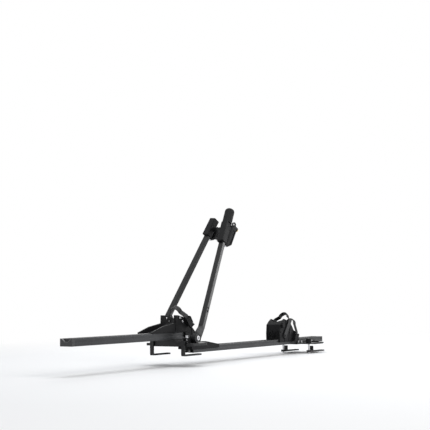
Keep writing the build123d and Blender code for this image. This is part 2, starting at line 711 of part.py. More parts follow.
def make_arms():
    rivets = [ARM_PLACE * rivet for rivet in arm_rivets()]
    foot = ARM_PLACE * arm_foot()
    save("arm_foot_left", foot)
    save("arm_foot_right", to_right(foot))
    save("arm_tube_left", ARM_PLACE * arm_tube(TUBE_SEAT))
    save("arm_tube_right", ARM_PLACE * to_right(arm_tube(FAR_TUBE_SEAT)))
    bush = ARM_PLACE * arm_bush()
    save("arm_bushes", bush, to_right(bush))
    save("arm_rivets", *rivets, *[to_right(rivet) for rivet in rivets])
    save("pivot_bolts", pivot_bolt(), to_right(pivot_bolt()))


# Frame clamp, drawn upright like the arms


def head_core(low, top, seat, knuckle_low):
    """Casting on a tube's top end, with the fixed knuckle of the jaw's hinge."""
    body = TUBE_PLACE * block((-CORE_BACK, CORE_FRONT), (-CORE_HALF_W, CORE_HALF_W), (low, top))
    body = fillet(body.edges().filter_by(lambda e: e.length > top - low - OVER), CORE_ROUND)
    body = chamfer(body.faces().sort_by(Axis.Z)[0].edges(), BASE_EDGE)
    web_x = (-HINGE_BACK, -ARM_BACK)
    web_y = (HINGE_Y - KNUCKLE_WEB / 2, HINGE_Y + KNUCKLE_WEB / 2)
    web = block(web_x, web_y, (knuckle_low, KNUCKLE_HIGH))
    body += web + bar_z(-HINGE_BACK, HINGE_Y, (knuckle_low, KNUCKLE_HIGH), KNUCKLE_R)
    body -= bar_z(-HINGE_BACK, HINGE_Y, (JAW_LOW, JAW_HIGH), HINGE_PIN_R + PIN_FIT)
    wide = 2 * SOCKET_FIT
    body -= tube_bar(TUBE_D + wide, TUBE_W + wide, TUBE_ROUND, low - OVER, seat + SOCKET_FIT)
    body -= bar_y(-TIE_BACK, TIE_AT, (0, TIE_END_Y + SOCKET_FIT), TIE_R + SOCKET_FIT)
    return body


def near_core():
    body = head_core(CORE_LOW, CORE_TOP, TUBE_SEAT, KNUCKLE_LOW)
    low = SCREW_LOW - SOCKET_FIT
    return body - TUBE_PLACE * bar_z(0, 0, (low, CORE_TOP + OVER), BOLT_R + PIN_FIT)


def far_core():
    body = head_core(FAR_CORE_LOW, FAR_CORE_TOP, FAR_TUBE_SEAT, FAR_KNUCKLE_LOW)
    edges = body.faces().sort_by(Axis.Z)[-1].edges()
    return to_right(fillet(edges, FAR_CORE_ROUND))


def jaw_outline(low):
    """Side view of a jaw behind its hinge."""
    front = -HINGE_BACK
    points = [(front, low), (front - (JAW_BACK - HINGE_BACK) / 3, low)]
    points += [(-JAW_BACK, low + JAW_CHAMFER), (-JAW_BACK, JAW_HIGH - JAW_CHAMFER)]
    points += [(-JAW_BACK + JAW_SHOULDER, JAW_HIGH), (front - KNUCKLE_R / 2, JAW_HIGH), (front, KNUCKLE_TOP)]
    return points


def pocket_outline(low):
    """Side view of the shallow panel in a jaw's outer face, below the lock."""
    front = -HINGE_BACK - JAW_POCKET_RIM
    back = -JAW_BACK + JAW_POCKET_RIM
    foot = low + JAW_POCKET_RIM
    high = LOCK_AT - 2 * LOCK_HOUSING_R
    lower = [(front, foot), ((front + back) / 2, foot), (back, foot + JAW_CHAMFER)]
    return lower + [(back, high), (front, high)]


def jaw(low, knuckle_low):
    """Swinging jaw with two knuckles, which closes on the bicycle's frame tube."""
    body = slab_y(jaw_outline(low), (JAW_IN_Y, JAW_OUT_Y))
    pocket_y = (JAW_OUT_Y - JAW_POCKET, JAW_OUT_Y + OVER)
    body -= slab_y(pocket_outline(low), pocket_y)
    body += bar_z(-HINGE_BACK, HINGE_Y, (low, KNUCKLE_TOP), KNUCKLE_R)
    middle = (knuckle_low - SLIP, KNUCKLE_HIGH + SLIP)
    body -= bar_z(-HINGE_BACK, HINGE_Y, middle, KNUCKLE_R + SLIP)
    body -= block((-HINGE_BACK, 0), (JAW_IN_Y - OVER, JAW_OUT_Y + OVER), middle)
    body -= bar_z(-HINGE_BACK, HINGE_Y, (low - OVER, KNUCKLE_TOP + OVER), HINGE_PIN_R + PIN_FIT)
    return body


def near_jaw():
    """The left jaw also carries the lock's housing and the finger loop."""
    body = jaw(JAW_LOW, KNUCKLE_LOW)
    body += bar_x(LOCK_Y, LOCK_AT, (-LOCK_HOUSING_BACK, -LOCK_HOUSING_FRONT), LOCK_HOUSING_R)
    body -= bar_x(LOCK_Y, LOCK_AT, (-LOCK_HOUSING_BACK - OVER, -LOCK_FRONT), LOCK_R + PIN_FIT)
    loop_y = (LOOP_Y - LOOP_W / 2, LOOP_Y + LOOP_W / 2)
    loop = bar_y(-LOOP_BACK, JAW_HIGH + LOOP_R / 2, loop_y, LOOP_R)
    loop -= bar_y(-LOOP_BACK, JAW_HIGH + LOOP_R / 2, loop_y, LOOP_R - LOOP_WIRE)
    loop -= block((-JAW_BACK, 0), loop_y, (JAW_LOW, JAW_HIGH - LOOP_WIRE))
    return body + loop


def hinge_pin(jaw_low):
    """Pin of a jaw's hinge, with a flat head at its lower end."""
    low = jaw_low - PIN_FIT
    pin = bar_z(-HINGE_BACK, HINGE_Y, (low, KNUCKLE_TOP), HINGE_PIN_R)
    return pin + bar_z(-HINGE_BACK, HINGE_Y, (low - HINGE_PIN_HEAD_T, low), HINGE_PIN_HEAD_R)


def jaw_pad(jaw_low):
    """Rubber pad on a jaw's inner face, with ridges across it."""
    x = (-JAW_BACK + JAW_PAD_RIM, -JAW_PAD_FRONT)
    low = jaw_low + JAW_PAD_END
    pad = block(x, (JAW_PAD_FACE_Y, JAW_IN_Y), (low, JAW_PAD_HIGH))
    pad = along_edges(pad, Axis.Z, PAD_RIDGE_D)
    step = (JAW_PAD_HIGH - low) / PAD_RIDGES
    for i in range(1, PAD_RIDGES):
        z = low + step * i
        pad -= bar_x(JAW_PAD_FACE_Y, z, (x[0] - OVER, x[1] + OVER), PAD_RIDGE_D)
    return pad


def clamp_knob():
    """Round knob in line with the tube, domed at its top and finely fluted."""
    knob = Pos(0, 0, (KNOB_LOW + KNOB_HIGH) / 2) * Cylinder(KNOB_R, KNOB_HIGH - KNOB_LOW)
    knob = fillet(knob.edges().sort_by(Axis.Z)[-1], KNOB_DOME)
    for i in range(KNOB_FLUTES):
        place = Rot(0, 0, 360 * i / KNOB_FLUTES) * Pos(KNOB_R + KNOB_FLUTE_R / 2, 0, 0)
        knob -= place * bar_z(0, 0, (KNOB_LOW + KNOB_FLUTE_LOW, KNOB_HIGH - KNOB_DOME), KNOB_FLUTE_R)
    knob -= bar_z(0, 0, (KNOB_LOW - OVER, KNOB_LOW + SCREW_GRIP), BOLT_R + PIN_FIT)
    return TUBE_PLACE * knob


def lock_barrel():
    barrel = bar_x(LOCK_Y, LOCK_AT, (-LOCK_BACK, -LOCK_FRONT - PIN_FIT), LOCK_R)
    slot_x = (-LOCK_BACK - OVER, -LOCK_BACK + KEY_SLOT_D)
    slot_y = (LOCK_Y - KEY_SLOT_W / 2, LOCK_Y + KEY_SLOT_W / 2)
    return barrel - block(slot_x, slot_y, (LOCK_AT - KEY_SLOT_L / 2, LOCK_AT + KEY_SLOT_L / 2))


def make_head():
    save("head_core_left", ARM_PLACE * near_core())
    save("head_core_right", ARM_PLACE * far_core())
    save("tie_rod", ARM_PLACE * bar_y(-TIE_BACK, TIE_AT, (-TIE_END_Y, TIE_END_Y), TIE_R))
    save("clamp_jaw_left", ARM_PLACE * near_jaw())
    save("clamp_jaw_right", ARM_PLACE * to_right(jaw(FAR_JAW_LOW, FAR_KNUCKLE_LOW)))
    for name, make in (("jaw_pad", jaw_pad), ("jaw_pin", hinge_pin)):
        save(name + "_left", ARM_PLACE * make(JAW_LOW))
        save(name + "_right", ARM_PLACE * to_right(make(FAR_JAW_LOW)))
    save("clamp_knob", ARM_PLACE * clamp_knob())
    screw = TUBE_PLACE * bar_z(0, 0, (SCREW_LOW, KNOB_LOW + SCREW_GRIP), BOLT_R)
    save("clamp_screw", ARM_PLACE * screw)
    save("lock_barrel", ARM_PLACE * lock_barrel())


# Wheel cradles

# Outlines of the cradles' side plates, as shares of the plate's length from its
# front end and of its height from its lower edge, chosen by eye
FRONT_PLATE_shares = [(0.0, 0.295), (0.233, 0.518), (0.5, 0.651), (0.507, 1.0), (0.58, 0.99), (0.757, 0.867),
                      (1.0, 0.169), (0.97, 0.013), (0.745, 0.0), (0.738, 0.235), (0.0, 0.235)]
REAR_PLATE_shares = [(0.0, 0.0), (0.004, 0.4), (0.035, 0.75), (0.15, 0.91), (0.25, 1.0), (0.552, 0.87),
                     (0.74, 0.49), (1.0, 0.27), (1.0, 0.0)]


def plate_points(shares, front, rear, low, high):
    return [(front + (rear - front) * u, low + (high - low) * v) for u, v in shares]


def front_plate_points():
    return plate_points(FRONT_PLATE_shares, FRONT_PLATE_FRONT_X, FRONT_PLATE_REAR_X,
                        FRONT_PLATE_LOW, FRONT_PLATE_HIGH)


def rear_plate_points():
    return plate_points(REAR_PLATE_shares, REAR_PLATE_FRONT_X, REAR_PLATE_REAR_X,
                        REAR_PLATE_LOW, REAR_PLATE_HIGH)


def wheel_room(x, z):
    """Room for the tyre: a wheel with a wide round tread."""
    tread = bar_y(x, z, (-VALLEY_W / 2, VALLEY_W / 2), WHEEL_R + TYRE_GAP)
    side = Pos(x, VALLEY_W / 2, z) * Rot(-90, 0, 0)
    cone_h = CRADLE_IN_Y - VALLEY_W / 2
    room_r = WHEEL_R + TYRE_GAP
    shoulder = side * Pos(0, 0, cone_h / 2) * Cone(room_r, room_r - SADDLE_DROP, cone_h)
    return tread + shoulder + to_right(shoulder)


def side_hooks(x, tray_foot):
    """Lips that run in the extrusion's side slots and keep a cradle down."""
    inner = TRAY_W / 2 - HOOK_DEPTH
    low = tray_foot + SIDE_SLOT_UP + SIDE_SLOT_H / 2 - HOOK_H / 2
    lip = block(x, (inner, CRADLE_IN_Y), (low, low + HOOK_H))
    return lip + to_right(lip)


def front_cradle():
    plate = slab_y(front_plate_points(), (CRADLE_IN_Y, CRADLE_IN_Y + PLATE_T))
    body = plate + to_right(plate)
    saddle_x = (FRONT_SADDLE_REAR_X, FRONT_SADDLE_FRONT_X)
    saddle = block(saddle_x, (-CRADLE_IN_Y, CRADLE_IN_Y), (TRAY_TOP, FRONT_PLATE_HIGH))
    body += saddle & solid_between(front_plate_points())
    body -= wheel_room(FRONT_AXLE_X, FRONT_AXLE_Z)
    body += side_hooks((FRONT_HOOK_REAR_X, FRONT_HOOK_FRONT_X), TRAY_TOP - TRAY_H)
    return drill_cradle(body, front_screw_places())


def solid_between(points):
    """The plates' outline filled in from side to side."""
    return slab_y(points, (-CRADLE_IN_Y, CRADLE_IN_Y))


def drill_cradle(body, places):
    for x, z in places:
        body -= bar_y(x, z, (-BASE_HALF_Y, BASE_HALF_Y), SCREW_R + PIN_FIT)
    return body


def front_screw_places():
    first = (FRONT_SCREW_X, FRONT_SCREW_Z)
    return [first, (FRONT_SCREW_X - FRONT_SCREW_STEP_X, FRONT_SCREW_Z - FRONT_SCREW_STEP_Z)]


def rear_screw_places():
    return [(REAR_SCREW_X, REAR_SCREW_Z), (REAR_SCREW_X - REAR_SCREW_STEP_X, REAR_SCREW_Z - SCREW_HEAD_R)]


def rear_cradle():
    plate = slab_y(rear_plate_points(), (CRADLE_IN_Y, CRADLE_IN_Y + PLATE_T))
    body = plate + to_right(plate)
    saddle_x = (REAR_PLATE_REAR_X, REAR_SADDLE_FRONT_X)
    saddle = block(saddle_x, (-CRADLE_IN_Y, CRADLE_IN_Y), (RAIL_TOP + SLIP, REAR_PLATE_HIGH))
    body += saddle & solid_between(rear_plate_points())
    body -= wheel_room(REAR_AXLE_X, REAR_AXLE_Z)
    body += side_hooks((REAR_PLATE_REAR_X, REAR_PLATE_FRONT_X), RAIL_TOP - RAIL_H)
    body -= bar_y(PINCH_X, PINCH_Z, (-BASE_HALF_Y, BASE_HALF_Y), PINCH_R + PIN_FIT)
    return drill_cradle(body, rear_screw_places())


def cross_screw(x, z, y, shank):
    """Screw into the left plate at (x, z), with its head at y."""
    head = bar_y(x, z, (y, y + SCREW_HEAD_T), SCREW_HEAD_R)
    head = fillet(head.edges().sort_by(Axis.Y)[-1], SCREW_SOCKET_D / 2)
    socket = Pos(x, y + SCREW_HEAD_T + OVER, z) * Rot(90, 0, 0)
    head -= socket * extrude(RegularPolygon(SCREW_SOCKET_R, 6), OVER + SCREW_SOCKET_D)
    return head + bar_y(x, z, (y - shank, y), SCREW_R)


def screw_pairs(places):
    outer = CRADLE_IN_Y + PLATE_T
    screws = [cross_screw(x, z, outer, PLATE_T) for x, z in places]
    return screws + [to_right(screw) for screw in screws]


# Ladder straps and buckles, drawn in a plane through the wheel's axle


def wheel_plane(x, z, angle):
    """Plane through an axle whose V direction points out at an angle from straight down."""
    out_x = sin(radians(angle))
    out_z = -cos(radians(angle))
    return Plane(origin=(x, 0, z), x_dir=(0, 1, 0), z_dir=(out_z, 0, -out_x))


def strap_path(half, top, knee_at, end):
    """Strap's outline on one side of its middle line, from end to end."""
    bend = STRAP_BEND_R + half
    knee = STRAP_KNEE_Y + half
    start = Line((-knee, end), (-knee, knee_at))
    rise = Line((-knee, knee_at), (-bend, top))
    turn = ThreePointArc((-bend, top), (0, top - bend), (bend, top))
    fall = Line((bend, top), (knee, knee_at))
    return [start, rise, turn, fall, Line((knee, knee_at), (knee, end))]


def strap(plane, top, knee_at, end):
    """Band that arches over the rim and runs down both side plates."""
    half = STRAP_T / 2
    outer = strap_path(half, top, knee_at, end)
    inner = strap_path(-half, top, knee_at, end)
    near, far = STRAP_KNEE_Y - half, STRAP_KNEE_Y + half
    tips = [Line((side * near, end), (side * far, end)) for side in (-1, 1)]
    return extrude(plane * make_face(outer + inner + tips), STRAP_W / 2, both=True)


def strap_teeth(plane):
    """Teeth on the outside of a strap's left leg, which the buckle's pawl takes."""
    far = STRAP_KNEE_Y + STRAP_T / 2
    teeth = []
    for i in range(STRAP_TEETH):
        at = STRAP_KNEE_AT + STRAP_TOOTH_STEP * (i + 1)
        tooth = Pos(far + STRAP_TOOTH / 2, at) * Rectangle(STRAP_TOOTH, STRAP_TOOTH_STEP / 2)
        teeth.append(extrude(plane * tooth, STRAP_W / 2 - STRAP_TOOTH, both=True))
    return teeth


def strap_anchor(plane, end):
    """Screw and spacer that hold a strap's right end on the side plate."""
    at = plane.from_local_coords((0, end - ANCHOR_IN, 0))
    screw = cross_screw(at.X, at.Z, STRAP_KNEE_Y + STRAP_T / 2, STRAP_T + 2 * PLATE_T)
    y = (CRADLE_IN_Y + PLATE_T, STRAP_KNEE_Y - STRAP_T / 2)
    ring = bar_y(at.X, at.Z, y, STRAP_W / 2 - STRAP_TOOTH)
    ring -= bar_y(at.X, at.Z, y, SCREW_R + PIN_FIT)
    return [to_right(screw), to_right(ring)]


def strap_hole(plane, end):
    """Hole for the anchor screw of a strap's right end."""
    at = plane.from_local_coords((0, end - ANCHOR_IN, 0))
    return bar_y(at.X, at.Z, (-BASE_HALF_Y, 0), SCREW_R + PIN_FIT)


def buckle_box(u, v, w):
    """Box in a wheel plane: u along Y, v away from the axle, w across the strap."""
    middle = [(a + b) / 2 for a, b in (u, v, w)]
    return Pos(*middle) * Box(*[b - a for a, b in (u, v, w)])


def buckle_base(plane):
    """Frame on the cradle's left side, open for the strap, with two cheeks."""
    floor_u = (CRADLE_IN_Y + PLATE_T, CRADLE_IN_Y + PLATE_T + BUCKLE_FLOOR)
    v = (BUCKLE_FROM, BUCKLE_TO)
    body = buckle_box(floor_u, v, (-BUCKLE_HALF_W, BUCKLE_HALF_W))
    cheek_u = (floor_u[0], floor_u[0] + BUCKLE_LIFT)
    for side in (-1, 1):
        w = sorted((side * BUCKLE_HALF_W, side * (BUCKLE_HALF_W - BUCKLE_CHEEK)))
        body += buckle_box(cheek_u, v, w)
    corner = body.edges().filter_by(Axis.Z).group_by(Axis.X)[-1]
    body = fillet(corner, BUCKLE_CHEEK * 2)
    pin_u = floor_u[0] + LEVER_PIN_OUT
    body -= Pos(pin_u, LEVER_PIN_AT, 0) * Cylinder(LEVER_PIN_R + PIN_FIT, 3 * BUCKLE_HALF_W)
    return plane.location * body


def buckle_pin(plane):
    pin_u = CRADLE_IN_Y + PLATE_T + LEVER_PIN_OUT
    return plane.location * Pos(pin_u, LEVER_PIN_AT, 0) * Cylinder(LEVER_PIN_R, 2 * BUCKLE_HALF_W)


def buckle_lever(plane, reach):
    """Lever that hinges on the buckle's pin and lies over the strap."""
    pin_u = CRADLE_IN_Y + PLATE_T + LEVER_PIN_OUT
    half_in = BUCKLE_HALF_W - BUCKLE_CHEEK - LEVER_CLEAR
    lever = Pos(pin_u, LEVER_PIN_AT, 0) * Cylinder(LEVER_HUB_R, 2 * half_in)
    u = (pin_u - LEVER_T / 2, pin_u + LEVER_T / 2)
    lever += buckle_box(u, (LEVER_PIN_AT, reach), (-half_in, half_in))
    wide_w = (-BUCKLE_HALF_W, BUCKLE_HALF_W)
    lever += buckle_box(u, (BUCKLE_TO + LEVER_CLEAR, reach), wide_w)
    lever += buckle_box((u[0], u[1] + LEVER_LIP), (reach - LEVER_LIP, reach), wide_w)
    lever -= Pos(pin_u, LEVER_PIN_AT, 0) * Cylinder(LEVER_PIN_R + PIN_FIT, 3 * BUCKLE_HALF_W)
    return plane.location * lever


def make_cradles():
    front_plane = wheel_plane(FRONT_AXLE_X, FRONT_AXLE_Z, FRONT_STRAP_DEG)
    rear_plane = wheel_plane(REAR_AXLE_X, REAR_AXLE_Z, REAR_STRAP_DEG)
    long_plane = wheel_plane(REAR_AXLE_X, REAR_AXLE_Z, REAR_LONG_STRAP_DEG)
    front_hole = strap_hole(front_plane, FRONT_STRAP_END)
    rear_hole = strap_hole(rear_plane, REAR_STRAP_END)
    long_hole = strap_hole(long_plane, REAR_LONG_STRAP_END)
    save("front_cradle", front_cradle() - front_hole)
    save("rear_cradle", rear_cradle() - rear_hole - long_hole - to_right(long_hole))
    front_strap = strap(front_plane, FRONT_STRAP_BEND, STRAP_KNEE_AT, FRONT_STRAP_END) - front_hole
    save("front_strap", front_strap + strap_teeth(front_plane))
    rear_strap = strap(rear_plane, REAR_STRAP_BEND, STRAP_KNEE_AT, REAR_STRAP_END) - rear_hole
    save("rear_strap", rear_strap + strap_teeth(rear_plane))
    long_strap = strap(long_plane, REAR_STRAP_BEND, REAR_LONG_KNEE_AT, REAR_LONG_STRAP_END)
    save("rear_long_strap", long_strap - long_hole - to_right(long_hole))
    front_screws = screw_pairs(front_screw_places()) + strap_anchor(front_plane, FRONT_STRAP_END)
    save("front_cradle_screws", *front_screws)
    rear_screws = screw_pairs(rear_screw_places()) + strap_anchor(rear_plane, REAR_STRAP_END)
    long_anchor = strap_anchor(long_plane, REAR_LONG_STRAP_END)
    rear_screws += long_anchor + [to_right(piece) for piece in long_anchor]
    save("rear_cradle_screws", *rear_screws)
    buckles = (("front", front_plane, FRONT_LEVER_TO), ("rear", rear_plane, REAR_LEVER_TO))
    for name, plane, reach in buckles:
        save(name + "_buckle_base", buckle_base(plane))
        save(name + "_buckle_pin", buckle_pin(plane))
        save(name + "_buckle_lever", buckle_lever(plane, reach))


def pinch_knob():
    y = CRADLE_IN_Y + PLATE_T + SLIP
    knob = bar_y(PINCH_X, PINCH_Z, (y, y + PINCH_KNOB_T), PINCH_KNOB_R)
    for i in range(PINCH_LOBES):
        angle = radians(360 * i / PINCH_LOBES)
        x = PINCH_X + PINCH_KNOB_R * cos(angle)
        z = PINCH_Z + PINCH_KNOB_R * sin(angle)
        knob -= bar_y(x, z, (y - OVER, y + PINCH_KNOB_T + OVER), PINCH_LOBE_R)
    return knob - bar_y(PINCH_X, PINCH_Z, (y - OVER, y + PINCH_KNOB_T / 2), PINCH_R + PIN_FIT)


def pinch_bolt():
    """Bolt across the rear cradle, with its head on the right side."""
    y = CRADLE_IN_Y + PLATE_T
    bolt = bar_y(PINCH_X, PINCH_Z, (-y - NUT_T, y + SLIP + PINCH_KNOB_T / 2), PINCH_R)
    head_place = Pos(PINCH_X, -y, PINCH_Z) * Rot(90, 0, 0)
    return bolt + head_place * extrude(RegularPolygon(PINCH_HEAD_R, 6), NUT_T)


# Rear foot on the rear crossbar


def rear_foot():
    half = TRAY_W / 2 + SLIP
    low = REAR_BAR_TOP + REAR_PAD_T
    rail_foot = RAIL_TOP - RAIL_H
    outer = half + FOOT_WALL
    wings = block((FOOT_REAR_X, WING_FRONT_X), (-WING_HALF_Y, WING_HALF_Y), (low, low + WING_T))
    wings = along_edges(wings, Axis.Z, FOOT_CORNER)
    body = wings + block((FOOT_REAR_X, FOOT_FRONT_X), (-outer, outer), (low, FOOT_WALL_TOP))
    rail_x = (FOOT_REAR_X - OVER, FOOT_FRONT_X + OVER)
    body -= block(rail_x, (-half, half), (rail_foot, FOOT_WALL_TOP + OVER))
    rib_x = (REAR_BAR_X - RIB_T / 2, REAR_BAR_X + RIB_T / 2)
    for side in (-1, 1):
        rib_y = sorted((side * outer, side * (WING_HALF_Y - FOOT_CORNER)))
        body += block(rib_x, rib_y, (low + WING_T, low + WING_T + RIB_T))
        stud_z = (low - OVER, low + WING_T + OVER)
        body -= bar_z(REAR_KNOB_X, side * REAR_KNOB_Y, stud_z, BOLT_R + PIN_FIT)
    for x in side_bolt_places():
        body -= bar_y(x, SIDE_BOLT_Z, (-BASE_HALF_Y, BASE_HALF_Y), SCREW_R + PIN_FIT)
    return body


def side_bolt_places():
    return [FOOT_FRONT_X + (FOOT_REAR_X - FOOT_FRONT_X) * u for u in SIDE_BOLT_shares]


def side_bolts():
    outer = TRAY_W / 2 + SLIP + FOOT_WALL
    bolts = [cross_screw(x, SIDE_BOLT_Z, outer, FOOT_WALL + SLIP) for x in side_bolt_places()]
    return bolts + [to_right(bolt) for bolt in bolts]


def rear_pad():
    low = REAR_BAR_TOP
    x = (REAR_BAR_X - PAD_X, REAR_BAR_X + PAD_X)
    pad = block(x, (-WING_HALF_Y + OVER, WING_HALF_Y - OVER), (low, low + REAR_PAD_T))
    return along_edges(pad, Axis.Z, FOOT_CORNER)


def rear_knob():
    seat = REAR_BAR_TOP + REAR_PAD_T + WING_T + PIN_FIT
    knob = bar_z(0, 0, (0, REAR_KNOB_H), REAR_KNOB_R)
    knob = fillet(knob.edges().sort_by(Axis.Z)[-1], BASE_EDGE)
    for i in range(REAR_KNOB_LOBES):
        place = Rot(0, 0, 360 * i / REAR_KNOB_LOBES) * Pos(REAR_KNOB_R + REAR_KNOB_LOBE_R / 2, 0, 0)
        knob -= place * bar_z(0, 0, (-OVER, REAR_KNOB_H + OVER), REAR_KNOB_LOBE_R)
    knob -= bar_z(0, 0, (-OVER, REAR_KNOB_H - BASE_EDGE * 2), BOLT_R + PIN_FIT)
    return Pos(REAR_KNOB_X, REAR_KNOB_Y, seat) * knob


def make_rear_foot():
    save("rear_foot", rear_foot())
    save("rear_foot_pad", rear_pad())
    save("rear_foot_bolts", *side_bolts())
    x_wall = REAR_BAR_X + BAR_CHORD / 2 + CLAW_GAP_X
    x_tail = REAR_BAR_X - BAR_CHORD / 2 - CLAW_TAIL
    liner_top = REAR_BAR_TOP - BAR_HEIGHT - BAR_FIT
    low = liner_top - LINER_T - CLAW_T
    high = REAR_BAR_TOP - CLAW_WALL_TOP
    hook = claw(REAR_KNOB_Y, REAR_CLAW_W, x_wall, x_tail, low, high)
    nose_x = (x_wall, REAR_KNOB_X + CLAW_NOSE)
    nose_y = (REAR_KNOB_Y - REAR_CLAW_W / 2, REAR_KNOB_Y + REAR_CLAW_W / 2)
    nose = block(nose_x, nose_y, (low, low + CLAW_T * 2))
    front = nose.edges().filter_by(Axis.Z).group_by(Axis.X)[-1]
    hook += fillet(front, REAR_CLAW_W / 2 - CLAW_TAIL)
    hook -= bar_z(REAR_KNOB_X, REAR_KNOB_Y, (low - OVER, high), BOLT_R + PIN_FIT)
    pad = liner(REAR_KNOB_Y, REAR_CLAW_W, x_wall, x_tail, liner_top - LINER_T)
    knob_top = REAR_BAR_TOP + REAR_PAD_T + WING_T + REAR_KNOB_H - BASE_EDGE * 2
    stud = bar_z(REAR_KNOB_X, REAR_KNOB_Y, (low - REAR_STUD_END, knob_top), BOLT_R)
    pieces = {"rear_claw": hook, "rear_claw_liner": pad, "rear_knob": rear_knob(), "rear_stud": stud}
    for name, piece in pieces.items():
        save(name + "_left", piece)
        save(name + "_right", to_right(piece))


make_trays()
make_base()
save("tail_block", tail_block())
save("tray_screws", *tray_screws())
make_arms()
make_head()
make_cradles()
save("rear_pinch_knob", pinch_knob())
save("rear_pinch_bolt", pinch_bolt())
make_rear_foot()
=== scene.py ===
import json
import math

import bmesh
import bpy
from mathutils import Matrix, Vector


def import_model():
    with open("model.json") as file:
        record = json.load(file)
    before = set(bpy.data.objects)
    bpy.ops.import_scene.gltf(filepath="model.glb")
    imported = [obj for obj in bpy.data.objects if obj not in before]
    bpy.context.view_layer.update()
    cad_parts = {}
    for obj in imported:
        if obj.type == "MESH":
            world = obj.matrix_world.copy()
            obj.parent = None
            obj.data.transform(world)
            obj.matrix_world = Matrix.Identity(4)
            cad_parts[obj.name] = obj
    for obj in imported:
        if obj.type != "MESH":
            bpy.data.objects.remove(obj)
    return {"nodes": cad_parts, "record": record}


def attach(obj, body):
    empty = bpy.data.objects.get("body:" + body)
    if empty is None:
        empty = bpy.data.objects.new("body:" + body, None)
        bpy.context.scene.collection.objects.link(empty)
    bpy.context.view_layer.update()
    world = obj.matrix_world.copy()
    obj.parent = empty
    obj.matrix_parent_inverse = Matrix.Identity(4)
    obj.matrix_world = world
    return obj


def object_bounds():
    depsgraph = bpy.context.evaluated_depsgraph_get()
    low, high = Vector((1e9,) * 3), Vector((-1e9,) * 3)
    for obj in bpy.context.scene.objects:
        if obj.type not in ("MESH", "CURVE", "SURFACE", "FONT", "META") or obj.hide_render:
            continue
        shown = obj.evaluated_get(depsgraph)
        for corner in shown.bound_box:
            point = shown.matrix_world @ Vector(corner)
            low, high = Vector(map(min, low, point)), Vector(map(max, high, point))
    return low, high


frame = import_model()
cad_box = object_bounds()

# Camera at the photograph's viewing angle, from the fit that gave the part its size
CAMERA_AT = (2.1476, 1.9224, 0.1387)
CAMERA_RIGHT = (-0.63033, 0.77604, -0.02089)
CAMERA_UP = (0.07225, 0.08543, 0.99372)
CAMERA_BACK = (0.77296, 0.62487, -0.10992)
FOCAL_SHARE = 816.13 / 430
SENSOR_W_MM = 36.0
CLIP_NEAR = 0.05
CLIP_FAR = 60


def camera():
    data = bpy.data.cameras.new("camera")
    data.sensor_width = SENSOR_W_MM
    data.lens = SENSOR_W_MM * FOCAL_SHARE
    data.clip_start = CLIP_NEAR
    data.clip_end = CLIP_FAR
    cam = bpy.data.objects.new("camera", data)
    bpy.context.collection.objects.link(cam)
    axes = [Vector(v).normalized() for v in (CAMERA_RIGHT, CAMERA_UP, CAMERA_BACK)]
    turn = Matrix([(a.x, a.y, a.z) for a in axes]).transposed().to_4x4()
    cam.matrix_world = Matrix.Translation(CAMERA_AT) @ turn
    bpy.context.scene.camera = cam


# Materials

BEVEL_SAMPLES = 6
# Agreement of true and rounded normal at which an edge counts fully, and not at all
EDGE_FULL = 0.72
EDGE_NONE = 0.985
COAT_ROUGHNESS = 0.25


